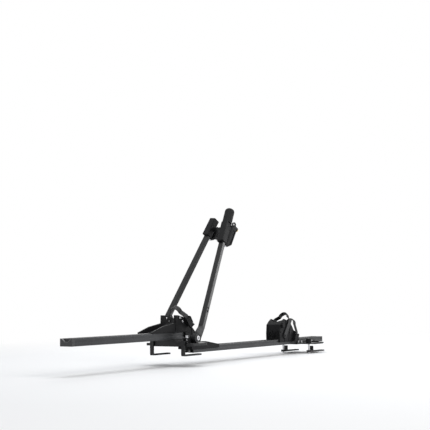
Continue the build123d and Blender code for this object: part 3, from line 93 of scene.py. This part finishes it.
class Nodes:
    """Small helper that adds nodes to a material and links them."""

    def __init__(self, name):
        self.material = bpy.data.materials.new(name)
        self.material.use_nodes = True
        self.tree = self.material.node_tree
        self.shader = self.tree.nodes["Principled BSDF"]
        self.place = self.add("ShaderNodeTexCoord").outputs["Object"]

    def add(self, kind, **values):
        node = self.tree.nodes.new(kind)
        for key, value in values.items():
            setattr(node, key, value)
        return node

    def link(self, out, into):
        self.tree.links.new(out, into)

    def stretched(self, scale):
        node = self.add("ShaderNodeMapping")
        node.inputs["Scale"].default_value = scale
        self.link(self.place, node.inputs["Vector"])
        return node.outputs["Vector"]

    def noise(self, scale, detail, place=None, rough=0.5):
        node = self.add("ShaderNodeTexNoise")
        node.inputs["Scale"].default_value = scale
        node.inputs["Detail"].default_value = detail
        node.inputs["Roughness"].default_value = rough
        self.link(place or self.place, node.inputs["Vector"])
        return node.outputs["Fac"]

    def spread(self, value, low, high, start=0.3, end=0.7):
        """Value from start to end turned into low to high."""
        node = self.add("ShaderNodeMapRange")
        node.inputs["From Min"].default_value = start
        node.inputs["From Max"].default_value = end
        node.inputs["To Min"].default_value = low
        node.inputs["To Max"].default_value = high
        self.link(value, node.inputs["Value"])
        return node.outputs["Result"]

    def blend(self, factor, first, second):
        """Colour between first and second, each a tuple or a socket."""
        node = self.add("ShaderNodeMix", data_type="RGBA")
        self.link(factor, node.inputs[0])
        for value, socket in ((first, node.inputs[6]), (second, node.inputs[7])):
            if isinstance(value, tuple):
                socket.default_value = (*value, 1.0)
            else:
                self.link(value, socket)
        return node.outputs[2]

    def math(self, kind, a, b):
        node = self.add("ShaderNodeMath", operation=kind)
        for value, socket in ((a, node.inputs[0]), (b, node.inputs[1])):
            if isinstance(value, (int, float)):
                socket.default_value = value
            else:
                self.link(value, socket)
        return node.outputs[0]

    def edges(self, radius):
        """Rounded normal at edges, and a mask that is 1 along them."""
        round_edge = self.add("ShaderNodeBevel", samples=BEVEL_SAMPLES)
        round_edge.inputs["Radius"].default_value = radius
        flat = self.add("ShaderNodeNewGeometry").outputs["Normal"]
        dot = self.add("ShaderNodeVectorMath", operation="DOT_PRODUCT")
        self.link(round_edge.outputs["Normal"], dot.inputs[0])
        self.link(flat, dot.inputs[1])
        mask = self.spread(dot.outputs["Value"], 1.0, 0.0, EDGE_FULL, EDGE_NONE)
        return round_edge.outputs["Normal"], mask

    def bump(self, height, distance, strength, normal=None):
        node = self.add("ShaderNodeBump")
        node.inputs["Distance"].default_value = distance
        node.inputs["Strength"].default_value = strength
        self.link(height, node.inputs["Height"])
        if normal is not None:
            self.link(normal, node.inputs["Normal"])
        return node.outputs["Normal"]

    def finish(self, colour, rough, normal, metal=0.0, coat=0.0, specular=0.5, sheen=0.0):
        self.shader.inputs["Metallic"].default_value = metal
        self.shader.inputs["Coat Weight"].default_value = coat
        self.shader.inputs["Coat Roughness"].default_value = COAT_ROUGHNESS
        self.shader.inputs["Specular IOR Level"].default_value = specular
        self.shader.inputs["Sheen Weight"].default_value = sheen
        for value, key in ((colour, "Base Color"), (rough, "Roughness"), (normal, "Normal")):
            self.link(value, self.shader.inputs[key])
        return self.material


def anodised():
    """Black anodised extrusion: die lines along X, faint cloudiness and lighter edges, partly wear and
    partly painted edge highlight.
    """
    dark, light = (0.030, 0.031, 0.033), (0.041, 0.042, 0.045)
    scratched, edge_wear_and_highlight = (0.085, 0.087, 0.092), (0.12, 0.122, 0.128)
    n = Nodes("anodised_black")
    lines = n.noise(1.0, detail=3.0, place=n.stretched((1.5, 900.0, 900.0)))
    cloud = n.noise(14.0, detail=5.0)
    scratch = n.noise(1.0, detail=2.0, place=n.stretched((40.0, 2600.0, 2600.0)), rough=0.7)
    edge_normal, edge = n.edges(radius=0.0007)
    base = n.blend(n.spread(cloud, 0.0, 1.0), dark, light)
    base = n.blend(n.spread(scratch, 0.0, 0.35, start=0.62, end=0.8), base, scratched)
    patchy = n.spread(n.noise(60.0, detail=4.0), 0.1, 0.75, start=0.4, end=0.7)
    # edges lightened in patches: partly wear, partly painted edge highlight
    base = n.blend(n.math("MULTIPLY", edge, patchy), base, edge_wear_and_highlight)
    rough = n.math("ADD", n.spread(lines, 0.30, 0.40), n.spread(cloud, -0.02, 0.05))
    normal = n.bump(lines, distance=0.00006, strength=0.35, normal=edge_normal)
    return n.finish(base, rough, normal, metal=0.35, specular=0.5)


def arm_finish():
    """Satin black coating on the arms, with a soft sheen and a little orange peel."""
    dark, light, edge_wear_and_highlight = (0.009, 0.0094, 0.0100), (0.014, 0.0144, 0.0155), (0.10, 0.10, 0.105)
    n = Nodes("arm_black")
    peel = n.noise(420.0, detail=3.0)
    cloud = n.noise(9.0, detail=4.0)
    edge_normal, edge = n.edges(radius=0.0009)
    base = n.blend(n.spread(cloud, 0.0, 1.0), dark, light)
    patchy = n.spread(n.noise(85.0, detail=4.0), 0.0, 0.6, start=0.45, end=0.75)
    # edges lightened in patches: partly wear, partly painted edge highlight
    base = n.blend(n.math("MULTIPLY", edge, patchy), base, edge_wear_and_highlight)
    rough = n.spread(cloud, 0.27, 0.36)
    normal = n.bump(peel, distance=0.00008, strength=0.25, normal=edge_normal)
    return n.finish(base, rough, normal, metal=0.2, coat=0.08, specular=0.30)


# Moulded plastics: darkest and lightest of the clean surface, the lighter edges (partly wear, partly
# painted edge highlight), and their share
MOULDED = {
    "moulded_black": ((0.0055, 0.0055, 0.006), (0.010, 0.010, 0.011), (0.050, 0.050, 0.052), 0.35),
    # grey caps: their edges are lightened strongly as a painted edge highlight
    "moulded_grey": ((0.066, 0.066, 0.067), (0.080, 0.080, 0.081), (0.24, 0.24, 0.24), 0.9),
    # pale lip in the end caps: its whole colour is a painted edge highlight
    "pale_painted_highlight": ((0.20, 0.20, 0.20), (0.24, 0.24, 0.24), (0.32, 0.32, 0.32), 0.9),
}


def moulded(name="moulded_black"):
    """Moulded plastic with a fine eroded grain."""
    dark, light, edge_wear_and_highlight, edge_wear_and_highlight_share = MOULDED[name]
    n = Nodes(name)
    grain = n.noise(1500.0, detail=3.0, rough=0.65)
    patch = n.noise(30.0, detail=5.0)
    edge_normal, edge = n.edges(radius=0.0008)
    base = n.blend(n.spread(patch, 0.0, 1.0), dark, light)
    # edges lightened: partly wear, partly painted edge highlight
    base = n.blend(n.math("MULTIPLY", edge, edge_wear_and_highlight_share), base, edge_wear_and_highlight)
    rough = n.math("ADD", n.spread(grain, 0.44, 0.60), n.spread(patch, -0.03, 0.04))
    normal = n.bump(grain, distance=0.00012, strength=0.55, normal=edge_normal)
    return n.finish(base, rough, normal, specular=0.14)


def strap_finish():
    """Tougher, smoother plastic of the straps, with drawn lines and scuffs."""
    dark, light = (0.011, 0.011, 0.012), (0.019, 0.019, 0.020)
    scuffed, edge_wear_and_highlight = (0.10, 0.10, 0.10), (0.10, 0.10, 0.103)
    n = Nodes("strap_plastic")
    scuff = n.noise(160.0, detail=6.0, rough=0.7)
    patch = n.noise(22.0, detail=4.0)
    edge_normal, edge = n.edges(radius=0.0005)
    base = n.blend(n.spread(patch, 0.0, 1.0), dark, light)
    base = n.blend(n.spread(scuff, 0.0, 0.5, start=0.6, end=0.78), base, scuffed)
    # edges lightened: partly wear, partly painted edge highlight
    base = n.blend(n.math("MULTIPLY", edge, 0.45), base, edge_wear_and_highlight)
    rough = n.spread(scuff, 0.34, 0.55)
    normal = n.bump(scuff, distance=0.00005, strength=0.4, normal=edge_normal)
    return n.finish(base, rough, normal, specular=0.3)


def coated_steel():
    """Powder-coated steel: fine bubbly texture, chipped a little at the edges."""
    dark, light, bare = (0.010, 0.010, 0.011), (0.018, 0.018, 0.019), (0.17, 0.165, 0.16)
    n = Nodes("coated_steel")
    grain = n.noise(900.0, detail=2.0)
    patch = n.noise(26.0, detail=5.0)
    edge_normal, edge = n.edges(radius=0.0008)
    base = n.blend(n.spread(patch, 0.0, 1.0), dark, light)
    chips = n.spread(n.noise(140.0, detail=5.0), 0.0, 1.0, start=0.60, end=0.68)
    base = n.blend(n.math("MULTIPLY", edge, chips), base, bare)
    rough = n.spread(grain, 0.36, 0.52)
    normal = n.bump(grain, distance=0.00014, strength=0.5, normal=edge_normal)
    return n.finish(base, rough, normal, metal=0.1, specular=0.3)


def rubber():
    """Matt rubber with dust in its pores."""
    clean, dusty = (0.018, 0.018, 0.019), (0.050, 0.049, 0.047)
    n = Nodes("rubber")
    grain = n.noise(1100.0, detail=4.0, rough=0.7)
    dust = n.noise(45.0, detail=6.0, rough=0.65)
    base = n.blend(n.spread(dust, 0.0, 0.6, start=0.45, end=0.75), clean, dusty)
    rough = n.spread(grain, 0.72, 0.90)
    normal = n.bump(grain, distance=0.00016, strength=0.6)
    return n.finish(base, rough, normal, specular=0.3, sheen=0.05)


def zinc():
    """Bright zinc-plated steel with faint turning marks and dull spots."""
    bright, dull, edge_wear_and_highlight = (0.60, 0.60, 0.615), (0.46, 0.46, 0.47), (0.78, 0.78, 0.79)
    n = Nodes("zinc_steel")
    lines = n.noise(1.0, detail=3.0, place=n.stretched((700.0, 30.0, 700.0)))
    spots = n.noise(210.0, detail=5.0, rough=0.6)
    edge_normal, edge = n.edges(radius=0.0005)
    base = n.blend(n.spread(spots, 0.0, 1.0), bright, dull)
    # edges brightened: partly wear, partly painted edge highlight
    base = n.blend(n.math("MULTIPLY", edge, 0.6), base, edge_wear_and_highlight)
    rough = n.math("ADD", n.spread(lines, 0.20, 0.30), n.spread(spots, 0.0, 0.12))
    normal = n.bump(lines, distance=0.00004, strength=0.35, normal=edge_normal)
    return n.finish(base, rough, normal, metal=1.0)


def brass():
    """Satin brass of the lock's face."""
    bright, stained, edge_wear_and_highlight = (0.68, 0.52, 0.26), (0.50, 0.37, 0.17), (0.85, 0.70, 0.42)
    n = Nodes("brass")
    lines = n.noise(1.0, detail=3.0, place=n.stretched((60.0, 1500.0, 60.0)))
    stain = n.noise(180.0, detail=5.0)
    edge_normal, edge = n.edges(radius=0.0004)
    base = n.blend(n.spread(stain, 0.0, 1.0), bright, stained)
    # edges brightened: partly wear, partly painted edge highlight
    base = n.blend(n.math("MULTIPLY", edge, 0.5), base, edge_wear_and_highlight)
    rough = n.spread(lines, 0.24, 0.36)
    normal = n.bump(lines, distance=0.00003, strength=0.4, normal=edge_normal)
    return n.finish(base, rough, normal, metal=1.0)


# Steel fasteners that show black, and end caps that show lighter than the other mouldings
OWN_FINISH = {"arm_rivets": "coated_steel", "rear_cradle_screws": "coated_steel",
              "front_tray_cap": "moulded_grey", "rear_rail_cap": "moulded_grey"}


def dress_nodes():
    """Gives each CAD node the material of its slot, or its own finish where it shows another."""
    makers = {"anodised_black": anodised, "arm_black": arm_finish, "moulded_black": moulded,
              "strap_plastic": strap_finish, "coated_steel": coated_steel, "rubber": rubber,
              "zinc_steel": zinc, "brass": brass}
    finishes = {name: make() for name, make in makers.items()}
    for name in ("moulded_grey", "pale_painted_highlight"):
        finishes[name] = moulded(name)
    for part in frame["record"]["subparts"]:
        node = frame["nodes"][part["node"]]
        slot = OWN_FINISH.get(part["node"], part["material_slot"])
        for place in node.material_slots:
            place.material = finishes[slot]
        if not node.material_slots:
            node.data.materials.append(finishes[slot])
    return finishes


# Detail pieces on the cradles, end caps, straps and levers, in metres

SUNK = 0.0002              # how deep relief is set into the face that carries it
FINE_ROUND = 0.0002        # rounding of the smallest relief's edges
BEVEL_SEGMENTS = 2
MITRE_LIMIT = 0.4

# Side plates of the cradles: outer face, outlines in X and Z, and middle lines of their ribs
PLATE_OUT_Y = 0.0334
FRONT_PLATE = [(0.157, 0.053), (0.1041, 0.0704), (0.0435, 0.0808), (0.0419, 0.108), (0.0253, 0.1072),
               (-0.0148, 0.0976), (-0.070, 0.0432), (-0.0632, 0.031), (-0.0121, 0.030), (-0.0105, 0.0483),
               (0.157, 0.0483)]
REAR_PLATE = [(-0.586, -0.0145), (-0.5866, 0.0225), (-0.5908, 0.0549), (-0.6067, 0.0697), (-0.6205, 0.078),
              (-0.6622, 0.066), (-0.6881, 0.0308), (-0.724, 0.0105), (-0.724, -0.0145)]
FRONT_RIBS = [((0.0385, 0.052), (0.0385, 0.104)), ((0.0385, 0.060), (-0.058, 0.044)),
              ((-0.046, 0.034), (-0.046, 0.064))]
REAR_RIBS = [((-0.590, 0.004), (-0.686, 0.004)), ((-0.621, -0.012), (-0.632, 0.072)),
             ((-0.650, -0.012), (-0.664, 0.060)), ((-0.590, 0.038), (-0.626, 0.044))]
RIM_START = 0.0006
RIM_W = 0.0011
RIM_H = 0.0009
RIB_W = 0.0022
RIB_H = 0.0014
RIB_ROUND = 0.0003

# Arches on the rear cradle's face: radius, width, height of the relief, rise as a share of the radius
ARCH_FACE_X = -0.592
ARCH_FOOT_Z = 0.004
ARCH_YS = (-0.0135, 0.0135)
ARCHES = ((0.0125, 0.0025, 0.0035, 2.3), (0.0070, 0.0015, 0.0020, 2.0))
ARCH_STEPS = 14
ARCH_ROUND = 0.0004

# Lips in the end caps: inner and outer X, and Z at the hollow's floor and at its open top
CAP_LIPS = (("front_cap_lip", 0.4918, 0.4979, 0.037, 0.0479),
            ("rear_cap_lip", -0.9108, -0.9169, -0.0135, -0.0041))
LIP_T = 0.0011
LIP_OUTER_YS = (0.0229, 0.0081)
LIP_INNER_YS = (0.0209, 0.0074)

# Straps: axle of the wheel, lean in degrees, distance of arch and knee from the axle, body
FRONT_AXLE = (0.159, 0.378)
REAR_AXLE = (-0.829, 0.323)
FRONT_LEAN = -32.0
REAR_LEAN = 23.0
STRAPS = (("front_strap_rungs", FRONT_AXLE, FRONT_LEAN, 0.306, 0.324, "base"),
          ("rear_strap_rungs", REAR_AXLE, REAR_LEAN, 0.290, 0.324, "rear_slider"),
          ("rear_long_strap_rungs", REAR_AXLE, 34.0, 0.290, 0.302, "rear_slider"))
STRAP_BEND_R = 0.019
STRAP_KNEE_U = 0.0375
BEND_STEPS = 8
PAST_CENTRE = 0.002        # a place inside the arch lies this far beyond its centre
RUNG_STEP = 0.0042
RUNG_HALF_L = 0.0066
RUNG_FOOT = 0.0014
RUNG_LOOPS = ((0.0, 0.0010), (0.0010, 0.0006))    # height over the foot, half width

# Grip lines on the buckle levers: axle, lean, first and last distance from the axle, body
LEVERS = (("front_lever_grip", FRONT_AXLE, FRONT_LEAN, 0.3598, 0.3622, "front_lever"),
          ("rear_lever_grip", REAR_AXLE, REAR_LEAN, 0.3598, 0.3642, "rear_lever"))
GRIP_STEP = 0.0018
GRIP_HALF_L = 0.0105
GRIP_LOOPS = ((0.0453, 0.0006), (0.0467, 0.0004))    # place along Y, half width


def add_piece(name, mesh_bits, finish, body, rounding):
    """New object from prisms, each given as a lower and an upper loop of points."""
    bm = bmesh.new()
    for low, high in mesh_bits:
        foot = [bm.verts.new(v) for v in low]
        head = [bm.verts.new(v) for v in high]
        count = len(foot)
        bm.faces.new(foot)
        bm.faces.new(head)
        for i in range(count):
            j = (i + 1) % count
            bm.faces.new((foot[i], foot[j], head[j], head[i]))
    bmesh.ops.recalc_face_normals(bm, faces=bm.faces)
    mesh = bpy.data.meshes.new(name)
    bm.to_mesh(mesh)
    bm.free()
    obj = bpy.data.objects.new(name, mesh)
    bpy.context.collection.objects.link(obj)
    soften = obj.modifiers.new("soften", "BEVEL")
    soften.width = rounding
    soften.segments = BEVEL_SEGMENTS
    soften.limit_method = "ANGLE"
    mesh.materials.append(finish)
    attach(obj, body)


def inward(points, by):
    """Outline of (x, z) points moved inwards by a distance."""
    spots = [Vector(p) for p in points]
    turn = sum(a.x * b.y - b.x * a.y for a, b in zip(spots, spots[1:] + spots[:1]))
    way = 1.0 if turn > 0 else -1.0
    moved = []
    for before, spot, after in zip(spots[-1:] + spots[:-1], spots, spots[1:] + spots[:1]):
        first = (spot - before).normalized()
        second = (after - spot).normalized()
        normals = [Vector((-d.y, d.x)) * way for d in (first, second)]
        both = normals[0] + normals[1]
        moved.append(spot + both * by / max(MITRE_LIMIT, 1 + normals[0].dot(normals[1])))
    return moved


def on_plate(quad, height, side):
    """Prism on a cradle's left (1) or right (-1) side plate."""
    return tuple([(x, side * y, z) for x, z in quad] for y in (PLATE_OUT_Y - SUNK, PLATE_OUT_Y + height))


def rim_bits(points, side):
    """Raised rim just inside an outline, one short prism for each edge."""
    outer = inward(points, RIM_START)
    inner = inward(points, RIM_START + RIM_W)
    bits = []
    for i in range(len(points)):
        j = (i + 1) % len(points)
        bits.append(on_plate([outer[i], outer[j], inner[j], inner[i]], RIM_H, side))
    return bits


def rib_bits(lines, side):
    """Raised ribs along lines in X and Z."""
    bits = []
    for a, b in lines:
        a, b = Vector(a), Vector(b)
        along = (b - a).normalized()
        across = Vector((-along.y, along.x)) * RIB_W / 2
        bits.append(on_plate([a - across, b - across, b + across, a + across], RIB_H, side))
    return bits


def arch_bits(y, radius, width, height, rise):
    """Raised arch on the rear cradle's face, which looks along X."""
    bits = []
    for i in range(ARCH_STEPS):
        quad = []
        for step, r in ((i, radius), (i + 1, radius), (i + 1, radius - width), (i, radius - width)):
            angle = math.pi * step / ARCH_STEPS
            quad.append((y + r * math.cos(angle), ARCH_FOOT_Z + rise * r * math.sin(angle)))
        bits.append(([(ARCH_FACE_X - SUNK, *q) for q in quad], [(ARCH_FACE_X + height, *q) for q in quad]))
    return bits


def cradle_details(finish):
    """Rims and ribs on the side plates, and arches on the rear cradle's face."""
    for name, plate, ribs, body in (("front", FRONT_PLATE, FRONT_RIBS, "base"),
                                    ("rear", REAR_PLATE, REAR_RIBS, "rear_slider")):
        bits = []
        for side in (-1, 1):
            bits += rim_bits(plate, side)
            bits += rib_bits(ribs, side)
        add_piece(name + "_cradle_ribs", bits, finish, body, RIB_ROUND)
    bits = []
    for y in ARCH_YS:
        for arch in ARCHES:
            bits += arch_bits(y, *arch)
    add_piece("rear_cradle_arches", bits, finish, "rear_slider", ARCH_ROUND)


def cap_details(finish):
    """Lip along the hollow in each end cap's face, pale as a painted edge highlight."""
    for name, x_in, x_out, floor_z, top_z in CAP_LIPS:
        (top_out, floor_out), (top_in, floor_in) = LIP_OUTER_YS, LIP_INNER_YS
        under, over = floor_z - SUNK, floor_z + LIP_T
        wall = [(-top_out, top_z), (-floor_out, under), (floor_out, under), (top_out, top_z)]
        edge = [(-top_in, top_z), (-floor_in, over), (floor_in, over), (top_in, top_z)]
        bits = []
        for i in range(len(wall) - 1):
            quad = (wall[i], wall[i + 1], edge[i + 1], edge[i])
            bits.append(([(x_in, *q) for q in quad], [(x_out, *q) for q in quad]))
        add_piece(name, bits, finish, "base", FINE_ROUND)


def strap_point(axle, angle, u, v, w):
    """Place in a wheel plane: u along Y, v out from the axle, w across the strap."""
    out = (math.sin(angle), -math.cos(angle))
    return (axle[0] + out[0] * v + out[1] * w, u, axle[1] + out[1] * v - out[0] * w)


def strap_line(top, knee):
    """Middle line of a strap's left half: from its end over the knee to the top of the arch."""
    points = [(STRAP_KNEE_U, knee), (STRAP_BEND_R, top)]
    for i in range(1, BEND_STEPS + 1):
        angle = math.pi / 2 * i / BEND_STEPS
        points.append((STRAP_BEND_R * math.cos(angle), top - STRAP_BEND_R * math.sin(angle)))
    return [Vector(p) for p in points]


def rung_bits(axle, angle, top, knee):
    """Rungs of a ladder strap over its arch, on the side away from the wheel."""
    line = strap_line(top, knee)
    inside = Vector((0, top + PAST_CENTRE))
    bits = []
    left_over = RUNG_STEP / 2
    for a, b in zip(line, line[1:]):
        length = (b - a).length
        along = (b - a) / length
        outer = Vector((along.y, -along.x))
        if outer.dot(a - inside) <= 0:
            outer = -outer
        at = left_over
        while at < length:
            middle = a + along * at + outer * RUNG_FOOT
            ends = []
            for lift, half in RUNG_LOOPS:
                start, end = [middle + outer * lift + along * h for h in (-half, half)]
                ends.append([(start.x, start.y, -RUNG_HALF_L), (end.x, end.y, -RUNG_HALF_L),
                             (end.x, end.y, RUNG_HALF_L), (start.x, start.y, RUNG_HALF_L)])
            for side in (-1, 1):
                bits.append(tuple([strap_point(axle, angle, side * u, v, w) for u, v, w in loop]
                                  for loop in ends))
            at += RUNG_STEP
        left_over = at - length
    return bits


def grip_bits(axle, angle, start, end):
    """Grip lines across a lever's outer face."""
    bits = []
    v = start
    while v < end:
        loops = []
        for u, half in GRIP_LOOPS:
            corners = ((v - half, -GRIP_HALF_L), (v + half, -GRIP_HALF_L),
                       (v + half, GRIP_HALF_L), (v - half, GRIP_HALF_L))
            loops.append([strap_point(axle, angle, u, c, w) for c, w in corners])
        bits.append(tuple(loops))
        v += GRIP_STEP
    return bits


def strap_details(finish):
    """Rungs on the three straps and grip lines on the two buckle levers."""
    for name, axle, degrees, top, knee, body in STRAPS:
        bits = rung_bits(axle, math.radians(degrees), top, knee)
        add_piece(name, bits, finish, body, FINE_ROUND)
    for name, axle, degrees, start, end, body in LEVERS:
        bits = grip_bits(axle, math.radians(degrees), start, end)
        add_piece(name, bits, finish, body, FINE_ROUND)


# Stage

BACKDROP = (1.0, 1.0, 1.0, 1)
FLOOR_TONE = (0.90, 0.90, 0.90, 1)
FLOOR_ROUGHNESS = 0.9
FLOOR_SPECULAR = 0.1
FLOOR_GAP = 0.0005
FLOOR_HALF = 14.0
# Distances from the middle at which the floor starts to turn into the backdrop, and has done so
FADE_FROM = 1.1
FADE_TO = 2.6
WORLD_TONE = (0.94, 0.96, 1.0, 1)
WORLD_STRENGTH = 0.40
# Lamps: place, point that they aim at, size in metres, power in watts, tint
LAMPS = (("key", (-0.3, 3.0, 2.4), (-0.2, 0, 0.15), 1.6, 42, (1.0, 0.985, 0.96)),
         ("top", (-0.4, 0.2, 3.2), (-0.3, 0, 0), 2.6, 56, (0.96, 0.98, 1.0)),
         ("back", (-2.6, -2.0, 1.8), (-0.3, 0, 0.2), 1.8, 34, (1, 1, 1)),
         ("sheen", (-2.7, 1.9, 0.85), (-0.1, 0.05, 0.2), 0.9, 20, (1, 1, 1)))


def seen_rays(tree):
    """1 for the camera's rays and for reflections and refractions, 0 for light."""
    path = tree.nodes.new("ShaderNodeLightPath")
    value = path.outputs["Is Camera Ray"]
    for name in ("Is Glossy Ray", "Is Transmission Ray"):
        larger = tree.nodes.new("ShaderNodeMath")
        larger.operation = "MAXIMUM"
        tree.links.new(value, larger.inputs[0])
        tree.links.new(path.outputs[name], larger.inputs[1])
        value = larger.outputs[0]
    return value


def floor_material():
    """Plain pale floor that keeps the object's shadow and joins the backdrop far away."""
    mat = bpy.data.materials.new("floor")
    mat.use_nodes = True
    tree = mat.node_tree
    shader = tree.nodes["Principled BSDF"]
    shader.inputs["Base Color"].default_value = FLOOR_TONE
    shader.inputs["Roughness"].default_value = FLOOR_ROUGHNESS
    shader.inputs["Specular IOR Level"].default_value = FLOOR_SPECULAR
    place = tree.nodes.new("ShaderNodeTexCoord").outputs["Object"]
    length = tree.nodes.new("ShaderNodeVectorMath")
    length.operation = "LENGTH"
    tree.links.new(place, length.inputs[0])
    far = tree.nodes.new("ShaderNodeMapRange")
    far.inputs["From Min"].default_value = FADE_FROM
    far.inputs["From Max"].default_value = FADE_TO
    tree.links.new(length.outputs["Value"], far.inputs["Value"])
    share = tree.nodes.new("ShaderNodeMath")
    share.operation = "MULTIPLY"
    tree.links.new(far.outputs["Result"], share.inputs[0])
    tree.links.new(seen_rays(tree), share.inputs[1])
    glow = tree.nodes.new("ShaderNodeEmission")
    glow.inputs["Color"].default_value = BACKDROP
    mix = tree.nodes.new("ShaderNodeMixShader")
    tree.links.new(share.outputs[0], mix.inputs["Fac"])
    tree.links.new(shader.outputs[0], mix.inputs[1])
    tree.links.new(glow.outputs[0], mix.inputs[2])
    tree.links.new(mix.outputs[0], tree.nodes["Material Output"].inputs["Surface"])
    return mat


def floor():
    z = cad_box[0][2] - FLOOR_GAP
    mesh = bpy.data.meshes.new("floor")
    corners = [(x * FLOOR_HALF, y * FLOOR_HALF, z) for x, y in ((-1, -1), (1, -1), (1, 1), (-1, 1))]
    mesh.from_pydata(corners, [], [(0, 1, 2, 3)])
    obj = bpy.data.objects.new("floor", mesh)
    bpy.context.collection.objects.link(obj)
    mesh.materials.append(floor_material())


def world():
    """Soft light from all round, with a white backdrop where the world itself is seen."""
    studio = bpy.data.worlds.new("studio")
    bpy.context.scene.world = studio
    studio.use_nodes = True
    tree = studio.node_tree
    light = tree.nodes["Background"]
    light.inputs["Color"].default_value = WORLD_TONE
    light.inputs["Strength"].default_value = WORLD_STRENGTH
    seen = tree.nodes.new("ShaderNodeBackground")
    seen.inputs["Color"].default_value = BACKDROP
    mix = tree.nodes.new("ShaderNodeMixShader")
    tree.links.new(seen_rays(tree), mix.inputs["Fac"])
    tree.links.new(light.outputs[0], mix.inputs[1])
    tree.links.new(seen.outputs[0], mix.inputs[2])
    tree.links.new(mix.outputs[0], tree.nodes["World Output"].inputs["Surface"])


def lights():
    for name, at, aim, size, power, tint in LAMPS:
        data = bpy.data.lights.new(name, "AREA")
        data.energy = power
        data.size = size
        data.color = tint
        obj = bpy.data.objects.new(name, data)
        bpy.context.collection.objects.link(obj)
        obj.location = at
        obj.rotation_euler = (Vector(aim) - Vector(at)).to_track_quat("-Z", "Y").to_euler()


camera()
finishes = dress_nodes()
cradle_details(finishes["moulded_black"])
# the caps' lips get the pale finish, a painted edge highlight
cap_details(finishes["pale_painted_highlight"])
strap_details(finishes["strap_plastic"])
floor()
world()
lights()
bpy.context.scene.view_settings.view_transform = "Standard"
